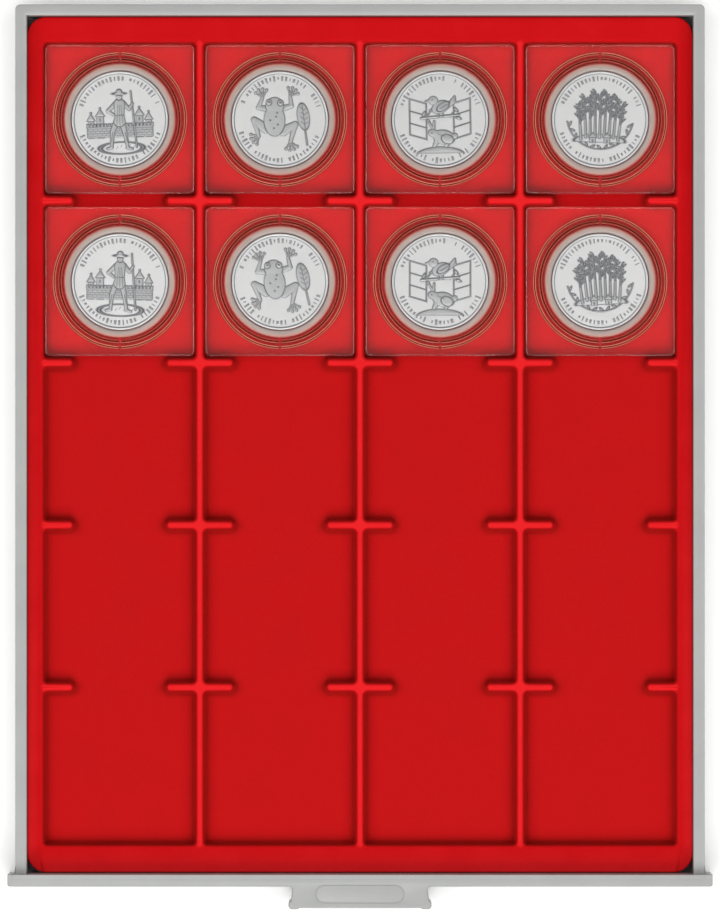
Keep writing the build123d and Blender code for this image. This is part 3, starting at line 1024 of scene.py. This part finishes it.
def limbShape(art, start, end, startRadius, endRadius):
    ax, ay = start
    bx, by = end
    dx, dy = bx - ax, by - ay
    t = np.clip(((art["x"] - ax) * dx + (art["y"] - ay) * dy) / (dx * dx + dy * dy), 0, 1)
    away = np.hypot(art["x"] - ax - t * dx, art["y"] - ay - t * dy)
    return away - (startRadius + (endRadius - startRadius) * t)


def chainShape(art, points, radii):
    # limbs joined end to end, with a start and an end radius for each
    return joinShapes(*(limbShape(art, a, b, *r) for a, b, r in zip(points, points[1:], radii)))


def blockShape(art, cx, cy, halfWidth, halfHeight):
    dx = np.abs(art["x"] - cx) - halfWidth
    dy = np.abs(art["y"] - cy) - halfHeight
    return np.maximum(dx, dy)


def gableShape(art, cx, foot, halfWidth, height):
    # a pointed roof that stands on its foot line
    slope = math.hypot(height, halfWidth)
    side = (height * np.abs(art["x"] - cx) + halfWidth * (art["y"] - foot) - height * halfWidth) / slope
    return np.maximum(side, foot - art["y"])


def bandShape(art, cx, cy, radius, halfWidth):
    return np.abs(np.hypot(art["x"] - cx, art["y"] - cy) - radius) - halfWidth


def joinShapes(*shapes):
    return np.minimum.reduce(shapes)


def raiseShape(art, distance, height=0.16, shoulder=0.9, frost=1.0):
    # lifts a shape out of the field, frosts it and paints a dark line of shade at its foot
    p = coin
    t = np.clip(-distance / shoulder, 0, 1)
    step = np.clip(0.5 - distance / p["reliefStep"], 0, 1)
    inside = distance < p["reliefEdge"]
    lifted = height * (p["stepShare"] * step + (1 - p["stepShare"]) * np.sin(t * math.pi / 2))
    art["height"] = np.where(inside, np.maximum(lifted, art["height"] * p["overlap"]), art["height"])
    art["frost"] = np.where(inside, step * frost, art["frost"])
    foot = np.exp(-((distance - p["outlineShift"]) / p["outline"]) ** 2)
    art["line"] = np.where(distance < 0, foot, np.maximum(art["line"], foot))


# cuts a groove and paints it dark as painted shade
def cutLine(art, distance, depth=0.06, width=0.12):
    stroke = np.exp(-(np.maximum(distance, 0) / width) ** 2)
    art["height"] -= depth * stroke
    art["line"] = np.maximum(art["line"], stroke * coin["cutTone"])


def castleFace(art):
    # a walker with a hat and a staff before a town wall
    for x, width, top in ((-9.7, 0.95, -0.2), (-6.6, 1.15, 1.3), (6.6, 1.15, 1.3), (9.7, 0.95, -0.2)):
        raiseShape(art, blockShape(art, x, (top - 6) / 2, width, (top + 6) / 2), 0.12, 0.4)
        raiseShape(art, gableShape(art, x, top, width + 0.4, 2.4), 0.15, 0.6)
        raiseShape(art, ovalShape(art, x, top + 2.6, 0.3, 0.3), 0.12, 0.2)
        for y in (top - 1.2, top - 3.0):
            cutLine(art, blockShape(art, x, y, 0.12, 0.4))
    merlons = [blockShape(art, -10.8 + 1.2 * i, -1.9, 0.36, 0.55) for i in range(19)]
    raiseShape(art, joinShapes(blockShape(art, 0, -4.0, 11.0, 1.8), *merlons), 0.14, 0.4)
    for row in range(4):
        cutLine(art, blockShape(art, 0, -2.9 - 0.8 * row, 11.0, 0.02), 0.04, 0.08)
        for i in range(15):
            x = -10.6 + 1.5 * i + 0.75 * (row % 2)
            cutLine(art, blockShape(art, x, -3.3 - 0.8 * row, 0.02, 0.35), 0.03, 0.06)
    raiseShape(art, np.abs(ovalShape(art, 0.3, -9.6, 7.2, 2.0)) - 0.1, 0.07, 0.15, frost=0.5)
    for k in range(9):
        x, y = -5.6 + 1.4 * k, -9.2 - 0.5 * (k % 2)
        cutLine(art, limbShape(art, (x, y), (x + 0.5, y + 0.7), 0.05, 0.02), 0.02, 0.09)
    raiseShape(art, limbShape(art, (5.4, -9.4), (3.9, 9.4), 0.24, 0.2), 0.13, 0.3)
    for hip, knee, heel, toe in (
        ((-0.6, 0.6), (-2.6, -4.2), (-3.0, -9.3), (-4.5, -9.7)),
        ((0.5, 0.4), (1.6, -4.4), (2.4, -9.6), (3.9, -10.0)),
    ):
        leg = chainShape(art, (hip, knee, heel, toe), ((1.05, 0.7), (0.68, 0.42), (0.5, 0.32)))
        raiseShape(art, leg, 0.18, 0.8)
        cutLine(art, limbShape(art, knee, (heel[0], heel[1] + 2), 0.03, 0.02), 0.04)
    for arm in (((-1.3, 5.4), (-3.9, 3.0), (-1.9, 1.5)), ((1.3, 5.5), (3.2, 3.4), (4.4, 5.2))):
        raiseShape(art, chainShape(art, arm, ((0.75, 0.55), (0.52, 0.36))), 0.17, 0.6)
    skirt = limbShape(art, (0, 1.0), (-0.1, -0.5), 1.5, 1.9)
    raiseShape(art, joinShapes(limbShape(art, (0, 5.3), (-0.1, 0.6), 1.75, 1.45), skirt), 0.2, 1.3)
    cutLine(art, blockShape(art, 0, 1.5, 1.5, 0.06), 0.05)
    for x in (-0.9, 0.0, 0.9):
        cutLine(art, limbShape(art, (x * 0.6, 4.8), (x * 1.2, -2.0), 0.02, 0.02), 0.03, 0.1)
    raiseShape(art, ovalShape(art, 0, 7.8, 0.95, 1.2), 0.19, 0.7)
    for x in (-0.34, 0.34):
        cutLine(art, ovalShape(art, x, 7.95, 0.1, 0.07), 0.03, 0.06)
    cutLine(art, limbShape(art, (-0.2, 7.2), (0.2, 7.2), 0.02, 0.02), 0.03, 0.06)
    hat = joinShapes(ovalShape(art, 0, 8.7, 1.9, 0.4), ovalShape(art, 0, 9.3, 0.95, 0.9))
    raiseShape(art, hat, 0.2, 0.5)


def webbedFoot(art, ankle, facing, spread=30):
    # four long toes with round tips
    parts = []
    for k in range(4):
        a = math.radians(facing + (k - 1.5) * spread)
        tip = (ankle[0] + 2.7 * math.cos(a), ankle[1] + 2.7 * math.sin(a))
        parts += [limbShape(art, ankle, tip, 0.26, 0.16), ovalShape(art, *tip, 0.42, 0.42)]
    return joinShapes(*parts)


def frogFace(art):
    # a tree frog seen from above, with a leaf beside it
    stem = limbShape(art, (9.6, -8.0), (7.4, 3.2), 0.22, 0.15)
    leaf = ovalShape(art, 7.8, 1.4, 2.0, 4.4, 12)
    raiseShape(art, joinShapes(leaf, stem), 0.13, 1.2)
    cutLine(art, limbShape(art, (9.0, -4), (7.2, 5.2), 0.05, 0.03))
    for k in range(4):
        x, y = 8.5 - 0.2 * k, -1.2 + 1.6 * k
        for side in (-1, 1):
            cutLine(art, limbShape(art, (x, y), (x - 0.2 + 1.2 * side, y + 0.9), 0.03, 0.02), 0.03)
    for points, radii, facing, height, shoulder in (
        (((-4.7, -3.2), (-8.6, -0.6), (-6.8, -6.0)), ((1.6, 1.0), (0.9, 0.5)), 215, 0.17, 1.0),
        (((1.3, -3.8), (5.2, -1.4), (3.9, -7.4)), ((1.6, 1.0), (0.9, 0.5)), 285, 0.17, 1.0),
        (((-4.2, 3.4), (-7.4, 3.6), (-6.2, 7.2)), ((1.0, 0.7), (0.65, 0.4)), 108, 0.16, 0.8),
        (((0.2, 3.6), (3.6, 4.8), (3.0, 8.2)), ((1.0, 0.7), (0.65, 0.4)), 62, 0.16, 0.8),
    ):
        raiseShape(art, webbedFoot(art, points[-1], facing), 0.13, 0.4)
        raiseShape(art, chainShape(art, points, radii), height, shoulder)
    head = ovalShape(art, -2.0, 4.4, 3.0, 2.9)
    raiseShape(art, joinShapes(ovalShape(art, -1.8, -0.4, 3.5, 5.2, 4), head), 0.2, 2.4)
    for x in (-4.0, -0.1):
        raiseShape(art, ovalShape(art, x, 5.6, 0.95, 0.95), 0.21, 0.6)
        cutLine(art, ovalShape(art, x, 5.7, 0.4, 0.22), 0.05, 0.1)
    for k in range(5):
        a = 1.3 * k
        cutLine(art, ovalShape(art, -1.8 + 1.5 * math.sin(a * 1.7), -3.0 + a, 0.28, 0.28), 0.03, 0.1)


def windowFace(art):
    # two open casements, with a bird on a bough above a resting hare
    for side in (-1, 1):
        lean = {"x": art["x"], "y": art["y"] - 0.3 * side * (art["x"] - side * 7.4)}
        casement = np.abs(blockShape(lean, side * 7.4, 0.2, 2.8, 6.0)) - 0.12
        raiseShape(art, casement, 0.12, 0.25, frost=0.6)
        for y in (-1.9, 2.2):
            raiseShape(art, blockShape(lean, side * 7.4, y, 2.7, 0.06), 0.1, 0.2, frost=0.6)
    raiseShape(art, np.maximum(ovalShape(art, 0, -12.2, 8, 3.0), -11.2 - art["y"]), 0.1, 0.8)
    twigs = [limbShape(art, (x, 1.0), (x + 1.6, 2.9), 0.22, 0.1) for x in (-4.6, 3.4)]
    raiseShape(art, joinShapes(limbShape(art, (-6.2, 0.5), (6.4, 1.5), 0.42, 0.26), *twigs), 0.13, 0.4)
    for x, y, turn in (
        (-5.4, 2.0, 60), (-2.6, 3.3, 20), (5.4, 3.2, 130), (6.2, 0.4, -20), (-3.9, -0.5, -60),
    ):
        raiseShape(art, ovalShape(art, x, y, 0.85, 0.4, turn), 0.12, 0.3)
    tail = [limbShape(art, (2.2, 4.0), (5.0 + 0.1 * k, 7.6 - 0.8 * k), 0.62, 0.3) for k in range(3)]
    raiseShape(art, joinShapes(*tail), 0.15, 0.6)
    for x in (-0.5, 0.9):
        raiseShape(art, limbShape(art, (x, 2.4), (x + 0.1, 1.0), 0.2, 0.2), 0.12, 0.25)
    bird = joinShapes(ovalShape(art, 0.2, 4.2, 3.0, 2.0, 24), ovalShape(art, -2.2, 6.4, 1.5, 1.4))
    raiseShape(art, joinShapes(bird, limbShape(art, (-3.2, 6.5), (-4.9, 6.2), 0.5, 0.08)), 0.19, 1.5)
    raiseShape(art, ovalShape(art, 1.1, 4.4, 2.3, 1.15, 34), 0.21, 0.8)
    for k in range(5):
        start, end = (-0.2 + 0.5 * k, 3.7 + 0.3 * k), (0.9 + 0.5 * k, 3.6 + 0.4 * k)
        cutLine(art, limbShape(art, start, end, 0.04, 0.02), 0.05, 0.1)
    cutLine(art, ovalShape(art, -2.5, 6.7, 0.17, 0.17), 0.05, 0.08)
    ears = [limbShape(art, (-2.2, -3.6), (x, y), 0.45, 0.3) for x, y in ((-3.6, -1.1), (-2.0, -0.6))]
    raiseShape(art, joinShapes(*ears), 0.15, 0.5)
    haunch = joinShapes(ovalShape(art, 1.2, -6.0, 3.6, 2.4, -12), ovalShape(art, -2.3, -4.6, 1.7, 1.3, -24))
    feet = [limbShape(art, (x, -7.0), (x - 1.0, -8.8), 0.9, 0.55) for x in (-1.0, 3.0)]
    raiseShape(art, joinShapes(haunch, *feet, ovalShape(art, 4.9, -5.6, 0.9, 0.9)), 0.19, 1.5)
    raiseShape(art, ovalShape(art, 2.4, -6.5, 2.0, 1.6, -16), 0.21, 0.9)
    cutLine(art, ovalShape(art, -2.8, -4.4, 0.2, 0.2), 0.05, 0.1)
    for k in range(6):
        x, y = -0.8 + 0.8 * k, -4.6 - 0.3 * (k % 3)
        cutLine(art, limbShape(art, (x, y), (x + 0.6, y - 0.5), 0.04, 0.02), 0.04, 0.09)


def treesFace(art):
    # a stand of tall trees in a ring of bramble, with two small huts at its foot
    bramble = np.maximum(bandShape(art, 0, 1.2, 11.2, 0.16), art["y"] + 1.0)
    raiseShape(art, bramble, 0.11, 0.2, frost=0.8)
    for k in range(13):
        a = math.radians(196 + 12.3 * k)
        x, y = 0.93 * 11.2 * math.cos(a), 0.93 * (1.2 + 11.2 * math.sin(a))
        turn = math.degrees(a) + 50 * (-1) ** k
        raiseShape(art, ovalShape(art, x, y, 0.65, 0.3, turn), 0.1, 0.25)
    shore = np.maximum(ovalShape(art, 0, -7.2, 8.4, 2.2), -7.6 - art["y"])
    raiseShape(art, shore, 0.08, 0.8, frost=0.5)
    for k in range(9):
        lean = k - 4
        foot = (lean * 1.55, -6.0 + 0.5 * (k % 2) - 0.05 * lean ** 2)
        crown = (lean * 1.85, 8.6 - 0.22 * lean ** 2 + 0.7 * (k % 2))
        raiseShape(art, limbShape(art, foot, crown, 0.42, 0.16), 0.15, 0.35)
        grain = limbShape(art, (foot[0], foot[1] + 0.6), (foot[0] + 0.06 * lean, 2.0), 0.02, 0.02)
        cutLine(art, grain, 0.03, 0.06)
        for level in range(5):
            t = 0.55 + 0.105 * level
            cx, cy = (foot[i] + (crown[i] - foot[i]) * t for i in (0, 1))
            side = (-1) ** (level + k)
            tips = ((cx + side, cy + 0.2), (cx + side * 0.5, cy + 0.9))
            twigs = [limbShape(art, (cx, cy - 1.1), tip, 0.15, 0.07) for tip in tips]
            raiseShape(art, joinShapes(*twigs), 0.13, 0.2)
            for dx, dy in ((1.15, 0.35), (0.55, 1.05)):
                raiseShape(art, ovalShape(art, cx + side * dx, cy + dy, 0.42, 0.22, 40 * side), 0.14, 0.25)
    for x in (-2.3, 2.5):
        raiseShape(art, blockShape(art, x, -6.9, 0.95, 0.9), 0.15, 0.4)
        raiseShape(art, gableShape(art, x, -6.0, 1.35, 1.5), 0.18, 0.4)
        cutLine(art, blockShape(art, x, -7.3, 0.22, 0.5), 0.06, 0.1)


def markStone():
    # one raised stroke of the border, a low bar with rounded shoulders
    p = coin
    chamfer = p["markChamfer"]
    loops = []
    for inset, share in p["markShoulders"]:
        x, y = p["markLength"] / 2 - inset, p["markWidth"] / 2 - inset
        outline = [(x, y - chamfer), (x - chamfer, y), (chamfer - x, y), (-x, y - chamfer)]
        outline += [(-a, -b) for a, b in outline]
        loops.append(np.array([(a, b, p["markHeight"] * share) for a, b in outline]))
    points, faces = stackLoops(loops)
    obj = meshObject("markStone", points * mm, faces)
    setAttribute(obj, "frost", [p["markFrost"]] * len(points))
    # the strokes are painted darker as painted shade
    setAttribute(obj, "line", [p["markTone"]] * len(points))
    return obj


def borderTree():
    # strokes of uneven length round the coin, some left out, so the ring reads as a worked border
    tree, given = newGeometryTree("coinBorder", (
        ("Coin", "Geometry", None), ("Mark", "Object", None), ("Count", "Int", 58),
        ("Radius", "Float", 0.0139), ("Height", "Float", 0.0), ("Share", "Float", 0.86),
        ("Gap", "Float", 0.3), ("Seed", "Int", 1), ("Skin", "Material", None),
    ))
    ring = addNode(
        tree, "GeometryNodeMeshCircle", links={"Vertices": given["Count"], "Radius": given["Radius"]}
    )
    position = addNode(tree, "GeometryNodeInputPosition").outputs[0]
    parts = addNode(tree, "ShaderNodeSeparateXYZ", links={0: position}).outputs
    angle = addNode(
        tree, "ShaderNodeMath", {"operation": "ARCTAN2"}, {0: parts["Y"], 1: parts["X"]}
    ).outputs[0]
    turn = addNode(tree, "ShaderNodeCombineXYZ", links={"Z": angle}).outputs[0]
    # two arcs, above and below, with the sides left plain
    slope = addNode(tree, "ShaderNodeMath", {"operation": "SINE"}, {0: angle}).outputs[0]
    steep = addNode(tree, "ShaderNodeMath", {"operation": "ABSOLUTE"}, {0: slope}).outputs[0]
    inArc = addNode(tree, "ShaderNodeMath", {"operation": "GREATER_THAN"}, {0: steep, 1: given["Gap"]})
    kept = addNode(
        tree, "FunctionNodeRandomValue", {"data_type": "BOOLEAN"},
        {"Probability": given["Share"], "Seed": given["Seed"]},
    )
    chosen = addNode(
        tree, "FunctionNodeBooleanMath", {"operation": "AND"}, {0: kept.outputs[3], 1: inArc.outputs[0]}
    )
    # lengths from 0.7 to 1.6 of the stroke, widths from 0.8 to 2.2
    lengths = addNode(
        tree, "FunctionNodeRandomValue", {"data_type": "FLOAT", 2: 0.7, 3: 1.6}, {"Seed": given["Seed"]}
    )
    widths = addNode(tree, "FunctionNodeRandomValue", {"data_type": "FLOAT", 2: 0.8, 3: 2.2, "Seed": 9})
    size = addNode(
        tree, "ShaderNodeCombineXYZ", {"Z": 1.0}, {"X": lengths.outputs[1], "Y": widths.outputs[1]}
    )
    mark = addNode(tree, "GeometryNodeObjectInfo", links={"Object": given["Mark"]})
    placed = addNode(
        tree, "GeometryNodeInstanceOnPoints",
        links={
            "Points": ring.outputs["Mesh"], "Selection": chosen.outputs[0], "Rotation": turn,
            "Instance": mark.outputs["Geometry"], "Scale": size.outputs[0],
        },
    )
    lift = addNode(tree, "ShaderNodeCombineXYZ", links={"Z": given["Height"]}).outputs[0]
    return endTree(tree, given, joinPlaced(tree, given, placed.outputs[0], lift))


def strikeCoin(name, face, border, mark, seed):
    # a coin about its own middle: relief on the disc grid, then the rim, the reeded edge and a plain back
    p = coin
    x, y = discGrid(p["cells"])
    art = {"x": x * p["fieldRadius"], "y": y * p["fieldRadius"]}
    for key in ("height", "frost", "line"):
        art[key] = np.zeros(len(x))
    face(art)
    field = p["thickness"] - p["fieldDepth"]
    top, bottom = p["thickness"], p["lift"]
    margin, width = p["fade"]
    fade = np.clip((p["fieldRadius"] - margin - np.hypot(art["x"], art["y"])) / width, 0, 1)
    relief = np.column_stack([art["x"], art["y"], field + art["height"] * fade])
    edge = discEdge(p["cells"])
    angles = np.arctan2(y[edge], x[edge])
    reed = p["reedDepth"] * (0.5 - 0.5 * np.cos(angles * p["reeds"]))
    # each row: radius, height, and whether the reeds cut it
    radius, hollow = p["radius"], bottom + p["underDepth"]
    section = [(r, z, False) for r, z in zip(p["underRadii"], (hollow, hollow, bottom))]
    section += [(radius + out, bottom + up, out == 0) for out, up in p["lowEdge"]]
    section += [(radius + out, top + up, out == 0) for out, up in p["highEdge"]]
    section += [
        (radius - p["rimWidth"], top, False),
        (p["rimInner"] + p["rimRound"][0], top - p["rimRound"][1], False),
        (p["rimInner"], field + p["rimFoot"], False),
    ]
    loops = [circleRing(angles, r - reed * reeded, z) for r, z, reeded in section]
    sides, faces = stackLoops(loops, closeTop=False)
    shift, row, count = len(sides), p["cells"] + 1, len(edge)
    last = (len(section) - 1) * count
    for i in range(count):
        j = (i + 1) % count
        faces.append((last + i, last + j, shift + edge[j], shift + edge[i]))
    for j in range(p["cells"]):
        a = shift + j * row
        faces += [(a + i, a + i + 1, a + row + i + 1, a + row + i) for i in range(p["cells"])]
    obj = meshObject(name, np.concatenate([sides, relief]) * mm, faces)
    # the foot of the rim's inner wall is painted dark as painted shade
    rimShade = np.zeros(len(sides))
    rimShade[last:] = 1.0
    setAttribute(obj, "frost", np.concatenate([np.full(len(sides), p["rimFrost"]), art["frost"] * fade]))
    setAttribute(obj, "line", np.concatenate([rimShade, art["line"] * fade]))
    modifier = obj.modifiers.new("border", "NODES")
    modifier.node_group = border
    setInputs(modifier, {
        "Mark": mark, "Count": p["marks"], "Radius": p["marksRadius"] * mm,
        "Height": (field - p["sink"]) * mm, "Share": p["markShare"], "Gap": p["markGap"], "Seed": seed,
        "Skin": silverSkin,
    })
    return bakeModifiers(obj)


def buildCoins():
    p = coin
    mark = markStone()
    border = borderTree()
    faces = (castleFace, frogFace, windowFace, treesFace)
    struck = [strikeCoin(f"struck{i}", face, border, mark, i + 1) for i, face in enumerate(faces)]
    for number in range(1, 9):
        low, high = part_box(f"coin_{number}")
        middle = (low + high) / 2
        mesh = struck[(number - 1) % len(struck)].data.copy()
        turn = Matrix.Rotation(math.radians(p["turns"][number - 1]), 4, "Z")
        mesh.transform(Matrix.Translation((middle.x, middle.y, low.z)) @ turn)
        mesh.set_sharp_from_angle(angle=math.radians(p["sharpAngle"]))
        obj = linkObject(f"silverCoin{number}", mesh)
        placePiece(obj, silverSkin, f"coin_{number}", "coin_silver", f"coin_{number}")
    for spare in (*struck, mark):
        bpy.data.objects.remove(spare)


buildCoins()
print("coins struck")


studio = dict(
    floorSize=4.0, floorDrop=0.0002, toothMm=0.8, paperDark="#F5F5F4", paperPale="#F9F9F8", paperGlow=0.15,
    cameraHeight=3.0, frameHeight=0.3059, worldLight=0.2, worldSeen=0.95,
    boxes=(
        ("leftBox", (-0.95, 0, 1.6), (1.4, 1.1), 14.0), ("rightBox", (0.95, 0, 1.6), (1.4, 1.1), 14.0),
        ("frontBox", (0, -1.0, 1.6), (1.1, 0.9), 19.0), ("rearBox", (0, 1.0, 1.6), (1.1, 0.9), 1.0),
    ),
)


def paperSweep():
    # matt backdrop paper, with the faint tooth of its fibres
    p = studio
    material, tree = newMaterial("backdropPaper")
    tooth = objectNoise(tree, p["toothMm"], detail=4, seed=8.0)
    colour = addNode(
        tree, "ShaderNodeValToRGB",
        {"stops": ((0.3, p["paperDark"]), (0.7, p["paperPale"]))}, {"Fac": tooth},
    )
    bump = addNode(tree, "ShaderNodeBump", {"Strength": 0.1, "Distance": 0.05 * mm}, {"Height": tooth})
    shader = addNode(
        tree, "ShaderNodeBsdfPrincipled",
        {
            "Roughness": 0.9, "Specular IOR Level": 0.2, "Emission Color": (1, 1, 1, 1),
            "Emission Strength": p["paperGlow"],
        },
        {"Base Color": colour.outputs["Color"], "Normal": bump.outputs["Normal"]},
    )
    addNode(tree, "ShaderNodeOutputMaterial", links={"Surface": shader.outputs["BSDF"]})
    return material


def buildStudio():
    p = studio
    half, z = p["floorSize"] / 2, -p["floorDrop"]
    corners = [(-half, -half, z), (half, -half, z), (half, half, z), (-half, half, z)]
    floor = meshObject("paperFloor", corners, [(0, 1, 2, 3)], smooth=False)
    floor.data.materials.append(paperSweep())

    scene = bpy.context.scene
    for name, where, size, watts in p["boxes"]:
        lamp = bpy.data.lights.new(name, "AREA")
        lamp.shape = "RECTANGLE"
        lamp.size, lamp.size_y = size
        lamp.energy = watts
        obj = linkObject(name, lamp)
        obj.location = where
        obj.rotation_euler = (-Vector(where)).to_track_quat("-Z", "Y").to_euler()

    world = bpy.data.worlds.new("studio")
    scene.world = world
    world.use_nodes = True
    tree = world.node_tree
    tree.nodes.clear()
    rays = addNode(tree, "ShaderNodeLightPath").outputs["Is Camera Ray"]
    strength = addNode(
        tree, "ShaderNodeMapRange", {"To Min": p["worldLight"], "To Max": p["worldSeen"]}, {"Value": rays}
    )
    glow = addNode(tree, "ShaderNodeBackground", links={"Strength": strength.outputs["Result"]})
    addNode(tree, "ShaderNodeOutputWorld", links={"Surface": glow.outputs[0]})

    camera = bpy.data.cameras.new("overheadCamera")
    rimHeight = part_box("tray_frame")[1].z
    camera.lens = camera.sensor_width * (p["cameraHeight"] - rimHeight) / p["frameHeight"]
    scene.camera = linkObject("overheadCamera", camera)
    scene.camera.location = (0, 0, p["cameraHeight"])
    scene.view_settings.view_transform = "Standard"


buildStudio()
print("studio set")
